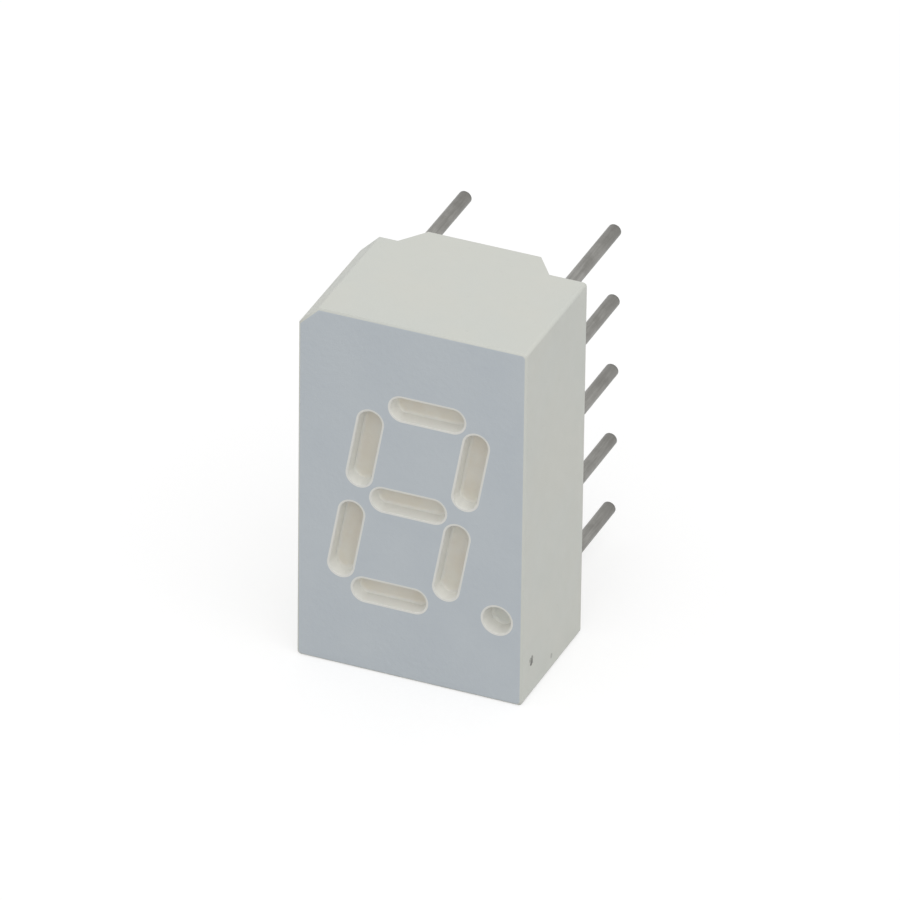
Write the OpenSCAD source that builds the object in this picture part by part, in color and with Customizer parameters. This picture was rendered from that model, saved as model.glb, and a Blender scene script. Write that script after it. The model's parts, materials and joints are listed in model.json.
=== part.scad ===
// Seven segment display, one digit, in a through-hole package with ten pins.
// The face looks towards -Y and +Z is up. The origin is the centre of the pin grid,
// on the seating plane: the plane through the tops of the standoff ridges.

/* [Housing] */
// Width of the housing, along X
body_w = 7.62; // [7.5:0.02:10]
// Height of the housing, along Z
body_h = 12.7; // [12:0.05:16]
// Depth from the face to the rear rim
body_d = 4.8; // [4.2:0.05:7]
// Thickness of the rim round the rear cavity
rim_wall = 0.45; // [0.35:0.01:0.5]
// Leg of the cut corner beside the first pin
corner_cut = 0.65; // [0.4:0.05:0.9]
// Radius of the other three corners
corner_r = 0.12; // [0.05:0.01:0.3]
// Bevel round the edge of the face
face_bevel = 0.06; // [0.02:0.01:0.1]

/* [Standoff ridges] */
// Height of a ridge over the rear rim
ridge_h = 0.9; // [0.4:0.05:1.5]
// Length of a ridge's flat top
ridge_top = 3.8; // [2:0.1:4.4]
// Run of each sloping end of a ridge
ridge_slope = 0.65; // [0.2:0.05:1]

/* [Digit] */
// Height of the digit, over the outer edges of its segments
digit_h = 7.62; // [6.5:0.02:9.2]
// Distance between the centre lines of the left and right segments
digit_span = 3.55; // [3:0.05:3.7]
// Distance from the middle of the housing to the middle of the digit
digit_shift = -0.08; // [-0.2:0.01:0.1]
// Lean of the digit from the vertical
digit_lean = 10; // [0:1:12]
// Width of a segment at the face
segment_w = 0.8; // [0.6:0.02:0.98]
// Distance from a corner of the digit to the round end of a level segment
level_inset = 0.93; // [0.8:0.01:1.1]
// Distance from a corner of the digit to the round end of an upright segment
upright_inset = 0.73; // [0.65:0.01:0.9]
// Diameter of the decimal point at the face
point_d = 0.95; // [0.7:0.01:1]
// Distance from the foot of the right-hand segments to the decimal point
point_shift = 1.85; // [1.5:0.01:1.9]

/* [Light wells] */
// Depth of a well's mouth behind the face
mouth_h = 0.7; // [0.7:0.05:0.9]
// Distance that each side of a mouth closes in over that depth
mouth_draft = 0.1; // [0.02:0.01:0.12]
// Height of the straight foot of a well, round its die
foot_h = 0.4; // [0.35:0.05:0.6]
// Length of the foot of a well
foot_l = 1.16; // [1:0.02:1.3]
// Width of the foot of a well
foot_w = 0.6; // [0.6:0.02:0.7]
// Depth of the resin's surface below the face in a segment
resin_sink = 0.45; // [0.05:0.05:0.6]
// Depth of the resin's surface below the face in the decimal point
point_sink = 0.55; // [0.05:0.05:0.65]

/* [Circuit board] */
// Thickness of the circuit board
board_t = 0.8; // [0.6:0.1:1]
// Clearance between the board and the rim
board_gap = 0.05; // [0.02:0.01:0.1]
// Thickness of the copper, level with the front of the board
copper_t = 0.035; // [0.018:0.001:0.07]
// Width of a signal track
track_w = 0.2; // [0.12:0.01:0.24]
// Width of the common track, between the two middle pins
bus_w = 0.24; // [0.16:0.01:0.3]
// Distance that the common track passes below the middle segment's wire pad
bus_dip = 0.42; // [0.36:0.01:0.6]
// Width of the track that runs up the board's edge to the decimal point's die
edge_w = 0.14; // [0.1:0.01:0.18]
// Distance from the board's edge to that track
edge_gap = 0.11; // [0.08:0.01:0.13]
// Rise of that track's sloping ends
edge_slope = 0.3; // [0.2:0.05:0.8]
// Diameter of the ring of copper round a pin
ring_d = 0.8; // [0.7:0.02:0.86]
// Thickness of the sealing compound behind the board
seal_t = 0.75; // [0.5:0.05:1]
// Depth of the sealing compound's surface below the rear rim
seal_sink = 0.05; // [0.02:0.01:0.2]

/* [Dies and bond wires] */
// Side of a die
die_w = 0.25; // [0.2:0.01:0.27]
// Thickness of a die
die_t = 0.2; // [0.12:0.01:0.25]
// Side of the copper pad under a die
die_pad = 0.3; // [0.28:0.01:0.32]
// Diameter of the copper pad under a wire's end
wire_pad = 0.16; // [0.12:0.01:0.18]
// Distance between a die's centre and its wire pad
wire_reach = 0.5; // [0.45:0.01:0.55]
// Distance between the decimal point's die and its wire pad
point_reach = 0.31; // [0.29:0.01:0.33]
// Diameter of a bond wire
wire_d = 0.03; // [0.025:0.005:0.04]
// Bow of a wire over the straight line from its die to its pad
wire_bow = 0.2; // [0.12:0.01:0.24]
// Share of the way from die to wire pad that lies on the die's side of the well's centre
die_share = 0.38; // [0.34:0.01:0.42]

/* [Pins] */
// Diameter of a pin
pin_d = 0.45; // [0.37:0.01:0.54]
// Length of a pin past the seating plane
pin_l = 4.5; // [2.5:0.1:8]
// Distance between neighbouring pins of a column
pin_pitch = 2.54; // [2:0.01:2.54]
// Distance between the two columns of pins
column_gap = 5.08; // [4.9:0.01:5.3]
// Bevel at the end of a pin
pin_bevel = 0.05; // [0.02:0.01:0.1]
// Height of the shank's ribs over the round pin
rib_h = 0.045; // [0.03:0.005:0.06]
// Height of the grooves between the ribs over the round pin
groove_h = 0.01; // [0.005:0.005:0.02]
// Height of a solder joint
solder_h = 0.35; // [0.2:0.05:0.45]
// Width of a solder joint's collar round the pin at the board
solder_foot = 0.2; // [0.15:0.01:0.24]
// Width of a solder joint's collar at its top
solder_top = 0.08; // [0.07:0.01:0.12]

/* [Hidden] */
LETTERS = ["a", "b", "c", "d", "e", "f", "g"];
WELLS = concat(LETTERS, ["point"]);
$fn = 48;
over = 0.02; // how far a cutter runs past the face that it opens
cavity_r = 0.2; // radius of the rear cavity's corners
ribs = 8; // ribs round a pin's shank
corner_steps = 4; // facets round a corner of the housing
ring_points = 32; // points round a well
wire_sides = 6; // sides of a bond wire
wire_steps = 10; // lengths of a bond wire
least_leg = 0.05; // shortest leg of the cut corner on an inner outline

// Planes along Y, from the viewer to the board that carries the display
rim_y = -ridge_h;
face_y = rim_y - body_d;
seal_y = rim_y - seal_sink;
board_back_y = seal_y - seal_t;
board_front_y = board_back_y - board_t;

// Centre lines of the digit: its top and bottom level segments lie at +row and -row
row = (digit_h - segment_w) / 2;
function lean_x(z) = digit_shift + z * tan(digit_lean);
level_core = digit_span - 2 * level_inset;
upright_core = (row - 2 * upright_inset) / cos(digit_lean);
function upright_at(side, z) = [lean_x(z) + side * digit_span / 2, z];

// One row per well: centre on the face, angle of its long axis, distance between the centres of
// its round ends, width, and the way from its centre to its wire pad along that axis
upright_angle = 90 - digit_lean;
wells = [
    [[lean_x(row), row], 0, level_core, segment_w, -1],
    [upright_at(1, row / 2), upright_angle, upright_core, segment_w, 1],
    [upright_at(1, -row / 2), upright_angle, upright_core, segment_w, -1],
    [[lean_x(-row), -row], 0, level_core, segment_w, -1],
    [upright_at(-1, -row / 2), upright_angle, upright_core, segment_w, -1],
    [upright_at(-1, row / 2), upright_angle, upright_core, segment_w, 1],
    [[lean_x(0), 0], 0, level_core, segment_w, 1],
    [upright_at(1, -row) + [point_shift, 0], 90, 0, point_d, -1]];
middle = 6; // place of segment g in the table
point = 7; // place of the decimal point
function centre_of(i) = wells[i][0];
function angle_of(i) = wells[i][1];
function foot_core(i) = wells[i][2] == 0 ? 0 : foot_l - foot_w;
function along(i) = [cos(angle_of(i)), sin(angle_of(i))];
function reach_of(i) = i == point ? point_reach : wire_reach;
// The die and its wire pad lie on either side of the centre of the well's foot
function die_at(i) = centre_of(i) - wells[i][4] * reach_of(i) * die_share * along(i);
function wire_at(i) = centre_of(i) + wells[i][4] * reach_of(i) * (1 - die_share) * along(i);

// Pins 1 to 5 run down the left column, and 6 to 10 up the right one
function pin_at(i) = i <= 5
    ? [-column_gap / 2, (3 - i) * pin_pitch]
    : [column_gap / 2, (i - 8) * pin_pitch];

// Outline of the housing in X and Z, moved inwards by inset, with round corners of radius r
function corner(sx, sz, from, inset, r) = [for (k = [0:corner_steps])
    [sx * (body_w / 2 - inset - r), sz * (body_h / 2 - inset - r)]
    + r * [cos(from + 90 * k / corner_steps), sin(from + 90 * k / corner_steps)]];
function cut_leg(inset) = max(corner_cut - inset * (2 - sqrt(2)), least_leg);
function outline(inset, r) = concat(
    corner(-1, -1, 180, inset, r),
    corner(1, -1, 270, inset, r),
    corner(1, 1, 0, inset, r),
    [[-body_w / 2 + inset + cut_leg(inset), body_h / 2 - inset],
     [-body_w / 2 + inset, body_h / 2 - inset - cut_leg(inset)]]);

// A flat shape drawn in X and Z, from plane y0 back to plane y1
module slab(y0, y1) {
    translate([0, y1, 0]) rotate([90, 0, 0]) linear_extrude(height = y1 - y0) children();
}

// A solid through rings of as many points each. Seen from outside its first ring, that ring
// runs counterclockwise.
module loft(rings) {
    n = len(rings[0]);
    last = (len(rings) - 1) * n;
    sides = [for (i = [0:len(rings) - 2], j = [0:n - 1]) let (k = (j + 1) % n)
        each [[i * n + j, (i + 1) * n + k, (i + 1) * n + j],
              [i * n + j, i * n + k, (i + 1) * n + k]]];
    polyhedron([for (ring = rings) each ring],
        concat([[for (j = [n - 1:-1:0]) j]], [[for (j = [0:n - 1]) last + j]], sides));
}

// A slot with round ends on plane y, as a ring of points
function slot_ring(i, core, w, y) = [for (k = [0:ring_points - 1])
    let (a = 360 * (k + 0.5) / ring_points,
         s = sign(cos(a)) * core / 2 + cos(a) * w / 2,
         t = sin(a) * w / 2,
         c = centre_of(i), u = along(i))
    [c[0] + s * u[0] - t * u[1], y, c[1] + s * u[1] + t * u[0]]];

// The same slot on plane y of a mouth, whose sides close in behind the face
function mouth_ring(i, y) =
    slot_ring(i, wells[i][2], wells[i][3] - 2 * mouth_draft * (y - face_y) / mouth_h, y);

// The inside of well i: a tapered mouth, walls that close in, and a straight foot round the die
module well(i, front_y, back_y) {
    loft([
        mouth_ring(i, front_y),
        mouth_ring(i, face_y + mouth_h),
        slot_ring(i, foot_core(i), foot_w, board_front_y - foot_h),
        slot_ring(i, foot_core(i), foot_w, back_y)]);
}

// A level ridge along the top rim (side 1) or the bottom rim (side -1)
module ridge(side) {
    half = ridge_top / 2;
    z0 = side > 0 ? body_h / 2 - rim_wall : -body_h / 2;
    translate([0, 0, z0]) linear_extrude(height = rim_wall) polygon([
        [-half - ridge_slope, rim_y - over], [half + ridge_slope, rim_y - over],
        [half + ridge_slope, rim_y], [half, 0], [-half, 0], [-half - ridge_slope, rim_y]]);
}

module housing() {
    color([0.90, 0.90, 0.87]) {
        difference() {
            union() {
                loft([
                    [for (p = outline(face_bevel, corner_r)) [p[0], face_y, p[1]]],
                    [for (p = outline(0, corner_r)) [p[0], face_y + face_bevel, p[1]]]]);
                slab(face_y + face_bevel, rim_y) polygon(outline(0, corner_r));
            }
            slab(board_front_y, rim_y + over) polygon(outline(rim_wall, cavity_r));
            for (i = [0:point]) well(i, face_y - over, board_front_y + over);
        }
        for (side = [-1, 1]) ridge(side);
    }
}

// Resin that fills a well, cast round its die and wire
module light_pipe(i) {
    color([0.86, 0.82, 0.72]) difference() {
        well(i, face_y + (i == point ? point_sink : resin_sink), board_front_y);
        led_die(i, over);
        bond_wire(i);
    }
}

// deeper sinks the foot of a cutter into the board
module led_die(i, deeper = 0) {
    c = die_at(i);
    color([0.35, 0.22, 0.12]) slab(board_front_y - die_t, board_front_y + deeper)
        translate(c) rotate(angle_of(i)) square(die_w, center = true);
}

// A gold wire that bows over from the top of its die to its pad. At a share t of its way, the
// pair holds its distance along the board and its height over it.
function wire_point(reach, t) = [
    reach * (1 - cos(180 * t)) / 2,
    die_t * (1 - t) + wire_bow * sin(180 * t)];
// Its direction there, which is square to the board at both ends
function wire_heading(reach, t) = t == 0 ? [0, 1] : t == 1 ? [0, -1]
    : let (d = [reach * sin(180 * t) / 2, wire_bow * cos(180 * t) - die_t / PI]) d / norm(d);

module bond_wire(i) {
    from = die_at(i);
    run = wire_at(i) - from;
    reach = norm(run);
    u = run / reach;
    v = [-u[1], u[0]];
    color([0.95, 0.75, 0.3]) loft([for (k = [0:wire_steps])
        let (t = k / wire_steps,
             middle_line = wire_point(reach, t),
             heading = wire_heading(reach, t))
        [for (j = [0:wire_sides - 1])
            let (a = 360 * j / wire_sides,
                 out = cos(a) * wire_d / 2,
                 side = -sin(a) * wire_d / 2,
                 along_board = middle_line[0] + out * heading[1],
                 height = middle_line[1] - out * heading[0])
            [from[0] + u[0] * along_board + v[0] * side,
             board_front_y - height,
             from[1] + u[1] * along_board + v[1] * side]]]);
}

// A straight length of track with round ends
module trace(a, b, w) {
    d = b - a;
    translate(a) rotate(atan2(d[1], d[0])) translate([0, -w / 2]) square([norm(d), w]);
    translate(a) circle(d = w);
    translate(b) circle(d = w);
}

module route(points, w) {
    for (k = [0:len(points) - 2]) trace(points[k], points[k + 1], w);
}

// The track that joins every die's pad to the two middle pins. It runs level from the left pin
// to the middle die, and passes below that die's wire pad on its way to the right pin.
module common_shape() {
    low = [wire_at(middle)[0], centre_of(middle)[1] - bus_dip];
    turn = [die_at(2)[0], low[1]];
    last = pin_at(8) - turn;
    join = turn + last * (die_at(1)[0] - turn[0]) / last[0];
    edge_x = body_w / 2 - rim_wall - board_gap - edge_gap - edge_w / 2;
    route([pin_at(3), die_at(middle), low, turn, pin_at(8)], bus_w);
    for (i = [0, 3]) trace(die_at(i), die_at(middle), track_w);
    for (i = [4, 5]) trace(die_at(i), [die_at(i)[0], pin_at(3)[1]], track_w);
    trace(die_at(1), join, track_w);
    trace(die_at(2), turn, track_w);
    route([
        die_at(point),
        [edge_x, die_at(point)[1] + edge_slope],
        [edge_x, pin_at(8)[1] - edge_slope],
        pin_at(8)], edge_w);
    for (i = [0:point]) translate(die_at(i)) rotate(angle_of(i)) square(die_pad, center = true);
    for (p = [3, 8]) translate(pin_at(p)) circle(d = ring_d);
}

// The pin that feeds each well's wire pad, in the order of WELLS
feed = [1, 9, 7, 5, 4, 2, 10, 6];

module track_shape(i) {
    trace(pin_at(feed[i]), wire_at(i), track_w);
    translate(pin_at(feed[i])) circle(d = ring_d);
    translate(wire_at(i)) circle(d = wire_pad);
}

module copper() {
    color([0.80, 0.50, 0.32]) difference() {
        slab(board_front_y, board_front_y + copper_t) children();
        for (i = [1:10]) shank(i, over);
    }
}

module circuit_board() {
    color([0.35, 0.45, 0.25]) difference() {
        slab(board_front_y, board_back_y) polygon(outline(rim_wall + board_gap, cavity_r));
        slab(board_front_y - over, board_front_y + copper_t) {
            common_shape();
            for (i = [0:point]) track_shape(i);
        }
        for (i = [1:10]) shank(i, over);
    }
}

function star() = [for (k = [0:2 * ribs - 1])
    (pin_d / 2 + (k % 2 == 0 ? rib_h : groove_h)) * [cos(180 * k / ribs), sin(180 * k / ribs)]];

// Ribbed shank of pin i, from the front of the board to the face of the seal
module shank(i, beyond = 0) {
    slab(board_front_y - beyond, seal_y + beyond) translate(pin_at(i)) polygon(star());
}

module pin(i) {
    p = pin_at(i);
    color([0.62, 0.61, 0.58]) {
        shank(i);
        translate([p[0], seal_y, p[1]]) rotate([-90, 0, 0]) {
            cylinder(d = pin_d, h = pin_l - seal_y - pin_bevel);
            translate([0, 0, pin_l - seal_y - pin_bevel])
                cylinder(d1 = pin_d, d2 = pin_d - 2 * pin_bevel, h = pin_bevel);
        }
    }
}

// Cone of solder round pin i, on the back of the board
module solder_cone(i) {
    p = pin_at(i);
    translate([p[0], board_back_y, p[1]]) rotate([-90, 0, 0])
        cylinder(r1 = pin_d / 2 + solder_foot, r2 = pin_d / 2 + solder_top, h = solder_h);
}

module solder_joint(i) {
    color([0.78, 0.78, 0.80]) difference() {
        solder_cone(i);
        shank(i, over);
    }
}

module rear_seal() {
    color([0.80, 0.78, 0.70]) difference() {
        slab(board_back_y, seal_y) polygon(outline(rim_wall, cavity_r));
        for (i = [1:10]) {
            solder_cone(i);
            shank(i, over);
        }
    }
}

housing();
for (i = [0:6]) light_pipe(i);
light_pipe(point);  // decimal_point
circuit_board();
copper() common_shape();  // common_track
for (i = [0:point]) copper() track_shape(i);
for (i = [0:point]) led_die(i);
for (i = [0:point]) bond_wire(i);
for (i = [1:10]) pin(i);
for (i = [1:10]) solder_joint(i);
rear_seal();
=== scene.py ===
import json
import math

import bmesh
import bpy
from mathutils import Matrix, Vector


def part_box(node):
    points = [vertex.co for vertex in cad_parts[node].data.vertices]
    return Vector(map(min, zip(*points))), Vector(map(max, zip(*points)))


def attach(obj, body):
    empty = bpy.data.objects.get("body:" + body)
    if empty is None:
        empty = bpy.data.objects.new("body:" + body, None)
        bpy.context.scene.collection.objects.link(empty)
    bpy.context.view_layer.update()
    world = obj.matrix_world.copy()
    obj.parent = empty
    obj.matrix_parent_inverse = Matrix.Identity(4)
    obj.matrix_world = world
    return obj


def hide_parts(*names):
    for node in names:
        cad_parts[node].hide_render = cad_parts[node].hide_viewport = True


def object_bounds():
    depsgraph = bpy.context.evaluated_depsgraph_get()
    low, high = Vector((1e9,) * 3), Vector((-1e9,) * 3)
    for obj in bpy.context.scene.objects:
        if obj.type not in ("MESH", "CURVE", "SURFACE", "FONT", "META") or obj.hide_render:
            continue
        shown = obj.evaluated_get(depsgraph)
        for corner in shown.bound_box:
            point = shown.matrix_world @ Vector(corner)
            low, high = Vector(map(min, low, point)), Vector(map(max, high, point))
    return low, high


print("loading the frame")
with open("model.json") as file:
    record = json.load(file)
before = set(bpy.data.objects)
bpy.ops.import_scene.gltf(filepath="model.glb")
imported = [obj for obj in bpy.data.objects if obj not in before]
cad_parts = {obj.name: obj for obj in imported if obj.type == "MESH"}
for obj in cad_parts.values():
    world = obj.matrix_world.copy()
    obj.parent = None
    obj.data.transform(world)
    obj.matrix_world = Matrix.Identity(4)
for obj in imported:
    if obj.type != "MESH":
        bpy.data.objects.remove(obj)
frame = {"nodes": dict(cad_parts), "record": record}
nodes = frame["nodes"]
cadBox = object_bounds()
mm = 0.001
bodyLow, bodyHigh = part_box("housing")
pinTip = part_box("pin_1")[1].y


# helpers for materials

softDetail, plainDetail, fineDetail = 2.0, 3.0, 4.0  # octaves of a noise
cloudEdges = (0.35, 0.65)  # of a noise, between one colour and the other
polishEdges = (0.3, 0.7)  # and between its smooth and its rough places
refraction = 1.5


def newMaterial(name):
    material = bpy.data.materials.new(name)
    material.use_nodes = True
    tree = material.node_tree
    tree.nodes.clear()
    output = tree.nodes.new("ShaderNodeOutputMaterial")
    shader = tree.nodes.new("ShaderNodeBsdfPrincipled")
    tree.links.new(shader.outputs["BSDF"], output.inputs["Surface"])
    return material, tree, shader


def plug(tree, target, value):  # links a socket, or sets a plain value
    if isinstance(value, bpy.types.NodeSocket):
        tree.links.new(value, target)
    else:
        target.default_value = value


def addNode(tree, kind, inputs, **settings):
    node = tree.nodes.new(kind)
    for name, value in settings.items():
        setattr(node, name, value)
    for key, value in inputs.items():
        plug(tree, node.inputs[key], value)
    return node


def objectPlace(tree, stretch=(1.0, 1.0, 1.0)):  # Object coordinates in millimetres
    coords = tree.nodes.new("ShaderNodeTexCoord")
    scale = [share / mm for share in stretch]
    place = addNode(tree, "ShaderNodeMapping", {"Vector": coords.outputs["Object"], "Scale": scale})
    return place.outputs["Vector"]


def noise(tree, place, perMillimetre, detail=plainDetail, roughness=0.55, distortion=0.0):
    inputs = {"Vector": place, "Scale": perMillimetre, "Detail": detail}
    inputs.update({"Roughness": roughness, "Distortion": distortion})
    return addNode(tree, "ShaderNodeTexNoise", inputs).outputs["Fac"]


def remap(tree, value, fromLow, fromHigh, toLow=0.0, toHigh=1.0):
    inputs = {"Value": value, "From Min": fromLow, "From Max": fromHigh, "To Min": toLow, "To Max": toHigh}
    return addNode(tree, "ShaderNodeMapRange", inputs, clamp=True).outputs["Result"]


def calc(tree, operation, first, second=0.0):
    return addNode(tree, "ShaderNodeMath", {0: first, 1: second}, operation=operation).outputs[0]


def blend(tree, share, first, second):  # two colours, each a tuple or a socket
    first = first if isinstance(first, bpy.types.NodeSocket) else (*first, 1.0)
    second = second if isinstance(second, bpy.types.NodeSocket) else (*second, 1.0)
    return addNode(tree, "ShaderNodeMix", {0: share, 6: first, 7: second}, data_type="RGBA").outputs[2]


def cloudy(tree, value, first, second):  # drifts softly from one colour to the other
    return blend(tree, remap(tree, value, *cloudEdges), first, second)


def uneven(tree, value, lowHigh):  # a roughness that follows a noise
    return remap(tree, value, *polishEdges, *lowHigh)


def bump(tree, height, depth, under=None):  # depth in millimetres
    inputs = {"Height": height, "Strength": 1.0, "Distance": depth * mm}
    if under is not None:
        inputs["Normal"] = under
    return addNode(tree, "ShaderNodeBump", inputs).outputs["Normal"]


def setShader(tree, shader, colour, rough, normal, metallic=0.0):
    plug(tree, shader.inputs["Base Color"], colour)
    plug(tree, shader.inputs["Roughness"], rough)
    plug(tree, shader.inputs["Normal"], normal)
    shader.inputs["Metallic"].default_value = metallic
    shader.inputs["IOR"].default_value = refraction


# helpers for modelling

weldGap = 3e-6  # metres, which closes the tiny edges that would stop a bevel
farOut = 1.0  # metres, beyond everything


def deselectAll():
    for thing in bpy.context.selected_objects:
        thing.select_set(False)


def weldedCopy(nodeName, pieceName):  # a CAD node's shape, in edit mode and selected
    piece = bpy.data.objects.new(pieceName, nodes[nodeName].data.copy())
    bpy.context.scene.collection.objects.link(piece)
    piece.data.name = pieceName
    piece.data.materials.clear()
    deselectAll()
    piece.select_set(True)
    bpy.context.view_layer.objects.active = piece
    bpy.ops.mesh.customdata_custom_splitnormals_clear()
    bpy.ops.object.mode_set(mode="EDIT")
    bpy.ops.mesh.select_all(action="SELECT")
    bpy.ops.mesh.remove_doubles(threshold=weldGap)
    return piece


def selectFaces(piece, low, high, spared=-1):  # those that lie whole between two corners
    bpy.ops.mesh.select_mode(type="FACE")
    bpy.ops.mesh.select_all(action="DESELECT")
    mesh = bmesh.from_edit_mesh(piece.data)
    for face in mesh.faces:
        within = all(low[i] < vertex.co[i] < high[i] for vertex in face.verts for i in range(3))
        face.select_set(within and face.material_index != spared)
    mesh.select_flush_mode()
    bmesh.update_edit_mesh(piece.data)


def selectLayer(piece, low, high):  # those that lie whole between two planes along Y
    selectFaces(piece, (-farOut, low, -farOut), (farOut, high, farOut))


def markSelected(piece, attribute, value):  # in edit mode, on the selected vertices
    mesh = bmesh.from_edit_mesh(piece.data)
    layer = mesh.verts.layers.float.get(attribute) or mesh.verts.layers.float.new(attribute)
    for vertex in mesh.verts:
        if vertex.select:
            vertex[layer] = value
    bmesh.update_edit_mesh(piece.data)


def giveMaterial(piece, index):  # to the selected faces
    piece.active_material_index = index
    bpy.ops.object.material_slot_assign()


def finishPiece(piece, replaced):
    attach(piece, "root")
    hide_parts(replaced)


# moulded plastic

plasticLook = {
    "white": (0.655, 0.672, 0.627),
    "warmWhite": (0.668, 0.676, 0.622),
    "cloudScale": 0.35,  # every scale is in features per millimetre
    "dust": (0.45, 0.44, 0.40),
    "dustScale": 7.0,
    "dustEdges": (0.66, 0.76),  # of the noise, between bare and dusty
    "dustCover": 0.14,
    "roughness": (0.46, 0.58),
    "polishScale": 2.2,
    "waveScale": 0.6,
    "waveDepth": 0.02,  # every depth is in millimetres
    "grainScale": 16.0,
    "grainDepth": 0.004,
    "markScale": 7.0,  # of the ragged edge of the speck and the fleck
    "markRagged": 0.5,  # this and the next are shares of a mark's size
    "markEdges": (0.7, 1.2),  # between its dark and its end
    "speckPlace": (3.81, -4.95, -5.11),  # millimetres
    "speckSize": 0.13,
    "speckCover": 0.85,
    "speck": (0.10, 0.09, 0.08),
    "fleckPlace": (3.81, -3.30, -5.85),
    "fleckSize": 0.07,
    "fleckCover": 0.4,
    "fleck": (0.20, 0.19, 0.17),
}
litWellLook = {"white": (0.79, 0.79, 0.75), "warmWhite": (0.81, 0.80, 0.75)}  # a lighter copy of the housing white, painted light that lifts the shade inside the wells


def addMark(tree, place, colour, mark):  # a small ragged dark spot, the speck or the fleck
    size = plasticLook[mark + "Size"]
    ends = {0: place, 1: plasticLook[mark + "Place"]}
    away = addNode(tree, "ShaderNodeVectorMath", ends, operation="DISTANCE").outputs["Value"]
    shift = plasticLook["markRagged"] * size
    edge = noise(tree, place, plasticLook["markScale"], fineDetail)
    ragged = remap(tree, edge, *cloudEdges, -shift, shift)
    dark, end = (share * size for share in plasticLook["markEdges"])
    inside = remap(tree, calc(tree, "ADD", away, ragged), dark, end, 1.0, 0.0)
    cover = calc(tree, "MULTIPLY", inside, plasticLook[mark + "Cover"])
    return blend(tree, cover, colour, plasticLook[mark])


def makePlastic(name, look):
    material, tree, shader = newMaterial(name)
    place = objectPlace(tree)
    clouds = noise(tree, place, plasticLook["cloudScale"])
    colour = cloudy(tree, clouds, look["white"], look["warmWhite"])
    dust = noise(tree, place, plasticLook["dustScale"])
    dusty = remap(tree, dust, *plasticLook["dustEdges"], 0.0, plasticLook["dustCover"])
    colour = blend(tree, dusty, colour, plasticLook["dust"])
    colour = addMark(tree, place, colour, "speck")
    colour = addMark(tree, place, colour, "fleck")
    polish = noise(tree, place, plasticLook["polishScale"], fineDetail)
    rough = uneven(tree, polish, plasticLook["roughness"])
    waves = bump(tree, noise(tree, place, plasticLook["waveScale"], softDetail), plasticLook["waveDepth"])
    grain = bump(tree, noise(tree, place, plasticLook["grainScale"]), plasticLook["grainDepth"], waves)
    setShader(tree, shader, colour, rough, grain)
    return material


# grey paint on the face

paintLook = {
    "grey": (0.547, 0.593, 0.631),
    "paleGrey": (0.567, 0.612, 0.645),
    "cloudScale": 0.5,
    "grain": (0.63, 0.66, 0.68),
    "grainScale": 26.0,
    "grainEdges": (0.60, 0.72),
    "grainCover": 0.2,
    "roughness": (0.42, 0.52),
    "polishScale": 3.0,
    "peelScale": 5.5,  # the orange peel of sprayed paint
    "peelDepth": 0.010,
    "toothScale": 22.0,
    "toothDepth": 0.003,
}


def makePaint():
    material, tree, shader = newMaterial("greyPaint")
    place = objectPlace(tree)
    clouds = noise(tree, place, paintLook["cloudScale"], fineDetail)
    colour = cloudy(tree, clouds, paintLook["grey"], paintLook["paleGrey"])
    grain = noise(tree, place, paintLook["grainScale"], softDetail)
    grainy = remap(tree, grain, *paintLook["grainEdges"], 0.0, paintLook["grainCover"])
    colour = blend(tree, grainy, colour, paintLook["grain"])
    polish = noise(tree, place, paintLook["polishScale"], fineDetail)
    rough = uneven(tree, polish, paintLook["roughness"])
    peel = noise(tree, place, paintLook["peelScale"], softDetail, roughness=0.45)
    peelBump = bump(tree, peel, paintLook["peelDepth"])
    tooth = noise(tree, place, paintLook["toothScale"], softDetail)
    setShader(tree, shader, colour, rough, bump(tree, tooth, paintLook["toothDepth"], peelBump))
    return material


# milky cast resin of the light pipes

resinLook = {
    "cream": (0.735, 0.715, 0.645),
    "amber": (0.705, 0.665, 0.578),
    "greyCream": (0.685, 0.700, 0.665),  # of the decimal point
    "grey": (0.655, 0.665, 0.620),
    "cloudScale": 1.3,
    "pale": (0.80, 0.79, 0.735),  # where the white wall lies close behind
    "filler": (0.78, 0.77, 0.73),
    "fillerScale": 24.0,
    "fillerEdges": (0.60, 0.72),
    "fillerCover": 0.3,
    "roughness": (0.30, 0.44),
    "polishScale": 4.0,
    "sagScale": 3.0,
    "sagDepth": 0.012,
    "grainScale": 14.0,
    "grainDepth": 0.002,
    "softness": 0.12,  # share of the light that wanders inside before it comes out
    "softReach": 0.12,  # millimetres
    "softColours": (1.0, 0.8, 0.5),  # share of that reach for red, green and blue
}


def makeResin(name, pale, deep):
    material, tree, shader = newMaterial(name)
    place = objectPlace(tree)
    colour = cloudy(tree, noise(tree, place, resinLook["cloudScale"], fineDetail), pale, deep)
    filler = noise(tree, place, resinLook["fillerScale"], softDetail)
    filled = remap(tree, filler, *resinLook["fillerEdges"], 0.0, resinLook["fillerCover"])
    colour = blend(tree, filled, colour, resinLook["filler"])
    nearWall = addNode(tree, "ShaderNodeAttribute", {}, attribute_name="nearWall").outputs["Fac"]
    colour = blend(tree, nearWall, colour, resinLook["pale"])
    rough = uneven(tree, noise(tree, place, resinLook["polishScale"]), resinLook["roughness"])
    sag = bump(tree, noise(tree, place, resinLook["sagScale"], softDetail), resinLook["sagDepth"])
    grain = noise(tree, place, resinLook["grainScale"], softDetail)
    setShader(tree, shader, colour, rough, bump(tree, grain, resinLook["grainDepth"], sag))
    shader.inputs["Subsurface Weight"].default_value = resinLook["softness"]
    shader.inputs["Subsurface Radius"].default_value = resinLook["softColours"]
    shader.inputs["Subsurface Scale"].default_value = resinLook["softReach"] * mm
    return material


# tinned wire of the pins

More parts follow.
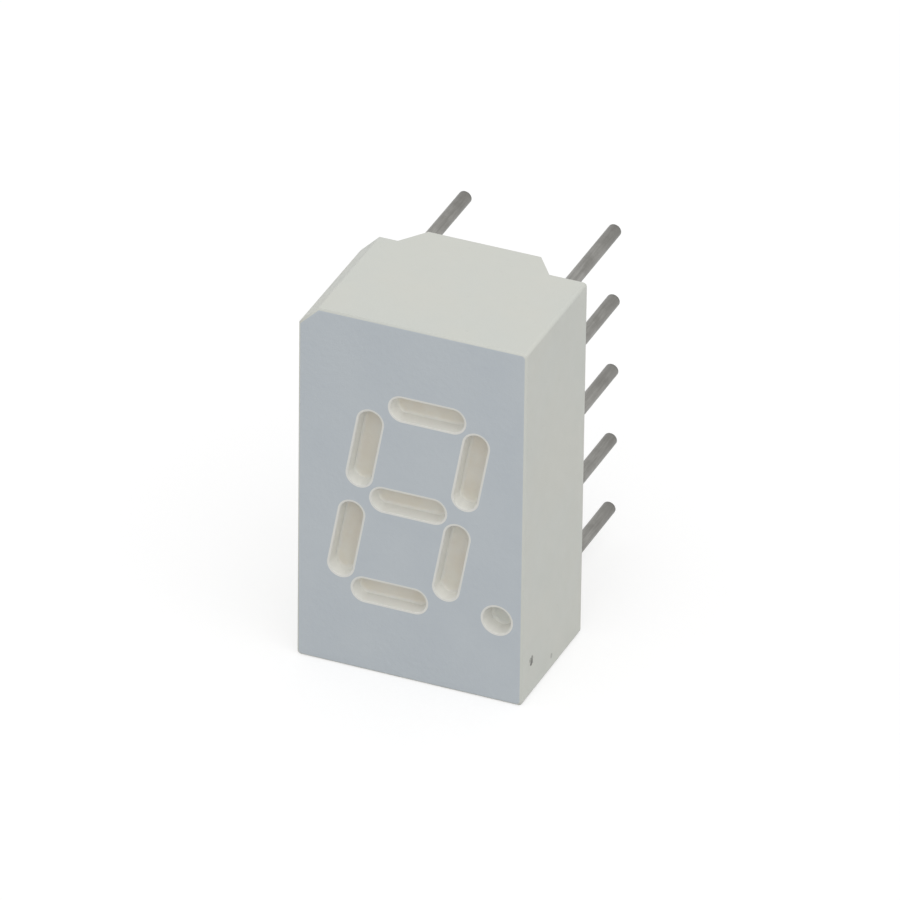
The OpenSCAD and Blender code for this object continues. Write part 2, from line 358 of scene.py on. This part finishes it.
pinLook = {
    "grey": (0.25, 0.245, 0.23),
    "bright": (0.36, 0.355, 0.335),
    "streakScale": 14.0,
    "streakStretch": (1.0, 0.06, 1.0),  # drawn along the pin
    "streakDepth": 0.006,
    "tarnish": (0.19, 0.185, 0.17),
    "tarnishScale": 1.6,
    "tarnishEdges": (0.45, 0.70),
    "tarnishCover": 0.5,
    "towardTip": (0.13, 0.125, 0.115),  # the outer half, darker towards the tip
    "towardTipLength": 2.6,  # millimetres from the tip
    "towardTipCover": 0.45,
    "atTip": (0.13, 0.125, 0.12),
    "atTipLengths": (0.14, 0.02),  # from the tip, where the darker end begins and where it is full
    "atTipCover": 0.7,
    "roughness": (0.34, 0.52),
    "dentScale": 6.0,
    "dentDepth": 0.004,
}


def makePinMetal():
    material, tree, shader = newMaterial("tinnedWire")
    place = objectPlace(tree)
    drawn = objectPlace(tree, pinLook["streakStretch"])
    streaks = noise(tree, drawn, pinLook["streakScale"], roughness=0.6)
    colour = cloudy(tree, streaks, pinLook["grey"], pinLook["bright"])
    tarnish = noise(tree, place, pinLook["tarnishScale"], fineDetail)
    tarnished = remap(tree, tarnish, *pinLook["tarnishEdges"], 0.0, pinLook["tarnishCover"])
    colour = blend(tree, tarnished, colour, pinLook["tarnish"])
    along = addNode(tree, "ShaderNodeSeparateXYZ", {"Vector": place}).outputs["Y"]
    tip = pinTip / mm
    # darker towards the tip, and darker still at the very end
    towardTip = remap(tree, along, tip - pinLook["towardTipLength"], tip, 0.0, pinLook["towardTipCover"])
    colour = blend(tree, towardTip, colour, pinLook["towardTip"])
    atTipStart, atTipFull = (tip - length for length in pinLook["atTipLengths"])
    atTipShare = remap(tree, along, atTipStart, atTipFull, 0.0, pinLook["atTipCover"])
    colour = blend(tree, atTipShare, colour, pinLook["atTip"])
    rough = uneven(tree, streaks, pinLook["roughness"])
    dents = bump(tree, noise(tree, place, pinLook["dentScale"]), pinLook["dentDepth"])
    setShader(tree, shader, colour, rough, bump(tree, streaks, pinLook["streakDepth"], dents), 1.0)
    return material


# compound poured over the back of the board

compoundLook = {
    "cream": (0.60, 0.585, 0.51),
    "olive": (0.52, 0.51, 0.43),
    "cloudScale": 0.45,
    "bubble": (0.75, 0.74, 0.70),
    "bubbleScale": 1.9,
    "bubbleEdges": (0.05, 0.10),  # from its middle, as shares of its cell
    "bubbleCover": 0.25,
    "bubbleDepth": 0.02,
    "roughness": (0.12, 0.26),
    "polishScale": 1.4,
    "flowScale": 0.9,
    "flowDepth": 0.05,
}


def makeCompound():
    material, tree, shader = newMaterial("pouredCompound")
    place = objectPlace(tree)
    clouds = noise(tree, place, compoundLook["cloudScale"], fineDetail, roughness=0.6, distortion=0.6)
    colour = cloudy(tree, clouds, compoundLook["cream"], compoundLook["olive"])
    cells = {"Vector": place, "Scale": compoundLook["bubbleScale"]}
    away = addNode(tree, "ShaderNodeTexVoronoi", cells).outputs["Distance"]
    bubble = remap(tree, away, *compoundLook["bubbleEdges"], 1.0, 0.0)
    cover = calc(tree, "MULTIPLY", bubble, compoundLook["bubbleCover"])
    colour = blend(tree, cover, colour, compoundLook["bubble"])
    rough = uneven(tree, noise(tree, place, compoundLook["polishScale"]), compoundLook["roughness"])
    flow = bump(tree, noise(tree, place, compoundLook["flowScale"], softDetail), compoundLook["flowDepth"])
    setShader(tree, shader, colour, rough, bump(tree, bubble, compoundLook["bubbleDepth"], flow))
    return material


# board, tracks, dies, wires and solder

boardLook = {
    "resin": (0.36, 0.38, 0.20),
    "glass": (0.50, 0.50, 0.32),
    "warpStretch": (1.0, 1.0, 0.15),
    "weftStretch": (0.15, 1.0, 1.0),
    "threadScale": 9.0,
    "threadEdges": (0.4, 0.65),
    "threadDepth": 0.01,
    "roughness": (0.34, 0.5),
}


def makeLaminate():
    material, tree, shader = newMaterial("boardLaminate")
    along = objectPlace(tree, boardLook["warpStretch"])
    warp = noise(tree, along, boardLook["threadScale"], softDetail)
    across = objectPlace(tree, boardLook["weftStretch"])
    weft = noise(tree, across, boardLook["threadScale"], softDetail)
    weave = calc(tree, "MAXIMUM", warp, weft)
    threads = remap(tree, weave, *boardLook["threadEdges"])
    colour = blend(tree, threads, boardLook["resin"], boardLook["glass"])
    rough = remap(tree, weave, *boardLook["threadEdges"], *boardLook["roughness"])
    setShader(tree, shader, colour, rough, bump(tree, weave, boardLook["threadDepth"]))
    return material


copperLook = {
    "dark": (0.72, 0.47, 0.22),
    "light": (0.83, 0.58, 0.30),
    "roughness": (0.22, 0.38),
    "grainScale": 12,
    "grainDepth": 0.004,
    "metallic": 1.0,
}
dieLook = {
    "dark": (0.30, 0.20, 0.10),
    "light": (0.42, 0.30, 0.16),
    "roughness": (0.18, 0.35),
    "grainScale": 10,
    "grainDepth": 0.003,
    "metallic": 0.0,
}
wireLook = {
    "dark": (0.90, 0.66, 0.24),
    "light": (0.95, 0.74, 0.32),
    "roughness": (0.16, 0.26),
    "grainScale": 30,
    "grainDepth": 0.001,
    "metallic": 1.0,
}
solderLook = {
    "dark": (0.60, 0.60, 0.60),
    "light": (0.70, 0.70, 0.70),
    "roughness": (0.16, 0.30),
    "grainScale": 5,
    "grainDepth": 0.01,
    "metallic": 1.0,
}


def makeGrained(name, look):
    material, tree, shader = newMaterial(name)
    grain = noise(tree, objectPlace(tree), look["grainScale"], roughness=0.6)
    rough = uneven(tree, grain, look["roughness"])
    colour = cloudy(tree, grain, look["dark"], look["light"])
    setShader(tree, shader, colour, rough, bump(tree, grain, look["grainDepth"]), look["metallic"])
    return material


print("mixing the finishes")
finishes = {
    "housing": makePlastic("mouldedWhite", plasticLook),
    "resin": makeResin("milkyResin", resinLook["cream"], resinLook["amber"]),
    "board": makeLaminate(),
    "copper": makeGrained("platedCopper", copperLook),
    "die": makeGrained("crystalDie", dieLook),
    "wire": makeGrained("goldWire", wireLook),
    "pin": makePinMetal(),
    "solder": makeGrained("solderMetal", solderLook),
    "seal": makeCompound(),
}
for part in frame["record"]["subparts"]:
    for slot in nodes[part["node"]].material_slots:
        slot.material = finishes[part["material_slot"]]


# housing with rounded edges and a painted face

housingLook = {
    "edgeRadius": 0.038,  # millimetres
    "edgeSteps": 3,
    "edgeAngle": 35,  # degrees, so the facets of a well's round ends stay as they are
    "flatAngle": 0.2,  # triangles that turn less than this are one face
    "smoothAngle": 40,
    "broadWeight": 100,  # over 50, the shading follows the broad sides
    "paintDepth": 0.004,  # what lies less than this behind the face is painted
    "bareRing": 0.07,  # the paint stops this far from a well
    "wallClear": 0.12,  # nothing this near to an outer side belongs to a well
}
bareWhite, greyFace, litWell = 0, 1, 2  # the shell's material slots


def roundEdges(shell):
    edges = shell.modifiers.new("roundEdges", "BEVEL")
    edges.width = housingLook["edgeRadius"] * mm
    edges.segments = housingLook["edgeSteps"]
    edges.limit_method = "ANGLE"
    edges.angle_limit = math.radians(housingLook["edgeAngle"])
    bpy.ops.object.modifier_apply(modifier=edges.name)


def flattenSides(shell):  # no false shading beside the round edges
    bpy.ops.object.shade_smooth_by_angle(angle=math.radians(housingLook["smoothAngle"]))
    flats = shell.modifiers.new("flatSides", "WEIGHTED_NORMAL")
    flats.keep_sharp = True
    flats.weight = housingLook["broadWeight"]
    bpy.ops.object.modifier_apply(modifier=flats.name)


def makeHousing():
    shell = weldedCopy("housing", "housing_shell")
    bpy.ops.mesh.dissolve_limited(angle_limit=math.radians(housingLook["flatAngle"]))
    shell.data.materials.append(finishes["housing"])
    shell.data.materials.append(makePaint())
    # the walls of the wells get the lighter white: painted light against their shade
    shell.data.materials.append(makePlastic("litWellWhite", litWellLook))
    faceLimit = bodyLow.y + housingLook["paintDepth"] * mm
    selectLayer(shell, bodyLow.y - mm, faceLimit)
    bpy.ops.mesh.inset(thickness=housingLook["bareRing"] * mm, depth=0)
    giveMaterial(shell, greyFace)
    clear = housingLook["wallClear"] * mm
    wellsLow = (bodyLow.x + clear, bodyLow.y - mm, bodyLow.z + clear)
    wellsHigh = (bodyHigh.x - clear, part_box("circuit_board")[0].y, bodyHigh.z - clear)
    selectFaces(shell, wellsLow, wellsHigh, spared=greyFace)
    giveMaterial(shell, litWell)
    bpy.ops.object.mode_set(mode="OBJECT")
    roundEdges(shell)
    for polygon in shell.data.polygons:  # paint on all of the face, but not on its rounded edges
        onFace = all(shell.data.vertices[i].co.y < faceLimit for i in polygon.vertices)
        if polygon.material_index != litWell:
            polygon.material_index = greyFace if onFace else bareWhite
    flattenSides(shell)
    finishPiece(shell, "housing")


# light pipes

pipeLook = {
    "climb": 0.06,  # millimetres that the resin creeps up the wall of its well
    "reach": 0.12,  # how far from the wall its surface is curved
    "curve": 3,  # the power of that curve
    "rings": 7,
    "ringWidth": 0.038,
    "paleReach": 0.05,  # how far from the wall the white behind the resin shows through
    "spread": 1.015,  # the sides reach this little into the wall
    "root": 0.02,  # and the foot this far into the board
    "endDepth": 0.01,  # what lies less than this from an end belongs to it
    "flatAngle": 1,  # degrees
    "smoothAngle": 50,
}


def makePipe(nodeName, pieceName, resin):  # its die and wire lie inside it, out of sight
    low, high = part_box(nodeName)
    endDepth = pipeLook["endDepth"] * mm
    pipe = weldedCopy(nodeName, pieceName)
    bpy.ops.mesh.convex_hull()
    bpy.ops.mesh.select_all(action="SELECT")
    bpy.ops.mesh.dissolve_limited(angle_limit=math.radians(pipeLook["flatAngle"]))
    bpy.ops.mesh.select_all(action="SELECT")
    spread = pipeLook["spread"]
    bpy.ops.transform.resize(value=(spread, 1, spread), center_override=(low + high) / 2)
    selectLayer(pipe, high.y - endDepth, high.y + mm)
    bpy.ops.transform.translate(value=(0, pipeLook["root"] * mm, 0))
    markSelected(pipe, "nearWall", 1.0)
    selectLayer(pipe, low.y - mm, low.y + endDepth)
    markSelected(pipe, "nearWall", 1.0)
    bpy.ops.transform.translate(value=(0, -pipeLook["climb"] * mm, 0))
    height = 1.0  # of the meniscus, as a share of its climb
    for ring in range(1, pipeLook["rings"] + 1):
        away = ring * pipeLook["ringWidth"]
        lower = max(1 - away / pipeLook["reach"], 0) ** pipeLook["curve"]
        bpy.ops.mesh.inset(thickness=pipeLook["ringWidth"] * mm, depth=0)
        bpy.ops.transform.translate(value=(0, pipeLook["climb"] * mm * (height - lower), 0))
        markSelected(pipe, "nearWall", math.exp(-away / pipeLook["paleReach"]))
        height = lower
    bpy.ops.object.mode_set(mode="OBJECT")
    pipe.data.materials.append(resin)
    bpy.ops.object.shade_smooth_by_angle(angle=math.radians(pipeLook["smoothAngle"]))
    finishPiece(pipe, nodeName)


# sealing compound, which climbs the rim and the pins

sealLook = {
    "columns": 96,
    "rows": 156,
    "lap": 0.05,  # millimetres that its edge reaches into the rim
    "thickness": 0.3,
    "rimClimb": 0.04,
    "rimReach": 0.14,
    "pinClimb": 0.12,
    "pinReach": 0.084,
    "pinCount": 10,
    "smoothAngle": 40,
}


def middleOf(nodeName):
    low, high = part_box(nodeName)
    return (low + high) / 2


def makeSeal():
    low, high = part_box("rear_seal")
    size = high - low
    lap = sealLook["lap"] * mm
    deselectAll()
    columns, rows = sealLook["columns"], sealLook["rows"]
    bpy.ops.mesh.primitive_grid_add(x_subdivisions=columns, y_subdivisions=rows, size=1)
    seal = bpy.context.object
    seal.name = seal.data.name = "seal_surface"
    pinSpots = [middleOf(f"pin_{i}") for i in range(1, sealLook["pinCount"] + 1)]
    outside = [vertex.co.x for vertex in nodes["pin_1"].data.vertices if vertex.co.y > high.y + mm]
    pinRadius = (max(outside) - min(outside)) / 2  # its ribs end below the surface
    for vertex in seal.data.vertices:
        x = vertex.co.x * (size.x + 2 * lap)
        z = -vertex.co.y * (size.z + 2 * lap)
        fromRim = min(high.x - abs(x), high.z - abs(z)) / mm
        fromPin = min(math.hypot(x - spot.x, z - spot.z) - pinRadius for spot in pinSpots) / mm
        climb = sealLook["rimClimb"] * math.exp(-max(fromRim, 0) / sealLook["rimReach"])
        climb += sealLook["pinClimb"] * math.exp(-max(fromPin, 0) / sealLook["pinReach"])
        vertex.co = Vector((x, high.y + climb * mm, z))
    bpy.ops.object.mode_set(mode="EDIT")
    bpy.ops.mesh.select_all(action="SELECT")
    down = (0, -sealLook["thickness"] * mm, 0)
    bpy.ops.mesh.extrude_region_move(TRANSFORM_OT_translate={"value": down})
    bpy.ops.mesh.select_all(action="SELECT")
    bpy.ops.mesh.normals_make_consistent(inside=False)
    bpy.ops.object.mode_set(mode="OBJECT")
    seal.data.materials.append(finishes["seal"])
    bpy.ops.object.shade_smooth_by_angle(angle=math.radians(sealLook["smoothAngle"]))
    finishPiece(seal, "rear_seal")


print("moulding the housing")
makeHousing()
print("casting the light pipes")
for letter in "abcdefg":
    makePipe(f"segment_{letter}", f"light_pipe_{letter}", finishes["resin"])
pointResin = makeResin("greyResin", resinLook["greyCream"], resinLook["grey"])
makePipe("decimal_point", "light_pipe_point", pointResin)
print("pouring the seal")
makeSeal()


# studio

studioLook = {
    "white": (1, 1, 1, 1),
    "roomLight": 0.732,
    "backdrop": 1.0,
    "floorSize": 3.0,  # metres
    "floorGrey": (0.48, 0.48, 0.48, 1),
    "floorRoughness": 0.9,
    "floorLift": 0.60,  # what the camera and reflections see on top of the lit floor
    "floorGap": 0.005,  # millimetres, so that no two faces share a plane
    "keyPlace": (0.25, -0.28, 0.335),  # metres
    "keyPower": 1.16,  # watts
    "keySize": 0.8,
}


def seenStraight(tree):  # 1 for what the camera, a mirror or a pane shows, 0 for light on the object
    path = tree.nodes.new("ShaderNodeLightPath")
    mirrored = calc(tree, "MAXIMUM", path.outputs["Is Glossy Ray"], path.outputs["Is Transmission Ray"])
    return calc(tree, "MAXIMUM", path.outputs["Is Camera Ray"], mirrored)


def makeRoom():
    world = bpy.data.worlds.new("paleRoom")
    bpy.context.scene.world = world
    world.use_nodes = True
    tree = world.node_tree
    tree.nodes.clear()
    white = studioLook["white"]
    light = addNode(tree, "ShaderNodeBackground", {"Color": white, "Strength": studioLook["roomLight"]})
    backdrop = addNode(tree, "ShaderNodeBackground", {"Color": white, "Strength": studioLook["backdrop"]})
    shown = {0: seenStraight(tree), 1: light.outputs[0], 2: backdrop.outputs[0]}
    mix = addNode(tree, "ShaderNodeMixShader", shown)
    addNode(tree, "ShaderNodeOutputWorld", {"Surface": mix.outputs[0]})


def makeFloor():
    deselectAll()
    level = cadBox[0].z - studioLook["floorGap"] * mm
    bpy.ops.mesh.primitive_plane_add(size=studioLook["floorSize"], location=(0, 0, level))
    floor = bpy.context.object
    floor.name = "floor"
    material, tree, shader = newMaterial("paleFloor")
    output = shader.outputs["BSDF"].links[0].to_node
    shader.inputs["Base Color"].default_value = studioLook["floorGrey"]
    shader.inputs["Roughness"].default_value = studioLook["floorRoughness"]
    shader.inputs["Specular IOR Level"].default_value = 0.0
    lift = calc(tree, "MULTIPLY", seenStraight(tree), studioLook["floorLift"])
    glow = addNode(tree, "ShaderNodeEmission", {"Color": studioLook["white"], "Strength": lift})
    both = addNode(tree, "ShaderNodeAddShader", {0: shader.outputs[0], 1: glow.outputs[0]})
    plug(tree, output.inputs["Surface"], both.outputs[0])
    floor.data.materials.append(material)


def makeKeyLight():  # a soft square lamp that faces the object
    lamp = bpy.data.objects.new("keyLight", bpy.data.lights.new("keyLight", "AREA"))
    lamp.data.size = studioLook["keySize"]
    lamp.data.energy = studioLook["keyPower"]
    lamp.location = studioLook["keyPlace"]
    lamp.rotation_euler = Vector(studioLook["keyPlace"]).to_track_quat("Z", "Y").to_euler()
    bpy.context.scene.collection.objects.link(lamp)


cameraLook = {
    "azimuth": 22.69,  # degrees to the right of the face
    "elevation": 31.16,
    "roll": 0.72,
    "distance": 0.400,  # metres
    "lens": 517.5,
    "nearClip": 0.01,
    "aimRight": 1.222,  # millimetres from the middle of the face, in the camera's own directions
    "aimUp": 1.744,
}


def makeCamera():
    turn, rise, roll = (math.radians(cameraLook[name]) for name in ("azimuth", "elevation", "roll"))
    back = Vector((math.sin(turn) * math.cos(rise), -math.cos(turn) * math.cos(rise), math.sin(rise)))
    level = Vector((math.cos(turn), math.sin(turn), 0))
    upright = back.cross(level)
    right = math.cos(roll) * level + math.sin(roll) * upright
    up = math.cos(roll) * upright - math.sin(roll) * level
    camera = bpy.data.objects.new("camera", bpy.data.cameras.new("camera"))
    camera.data.lens = cameraLook["lens"]
    camera.data.clip_start = cameraLook["nearClip"]
    aim = Vector((0, bodyLow.y, 0)) + (right * cameraLook["aimRight"] + up * cameraLook["aimUp"]) * mm
    turned = Matrix((right, up, back)).transposed().to_4x4()
    camera.matrix_world = Matrix.Translation(aim + back * cameraLook["distance"]) @ turned
    bpy.context.scene.collection.objects.link(camera)
    bpy.context.scene.camera = camera


print("lighting the studio")
makeRoom()
makeFloor()
makeKeyLight()
makeCamera()
bpy.context.scene.view_settings.view_transform = "Standard"

print("done")
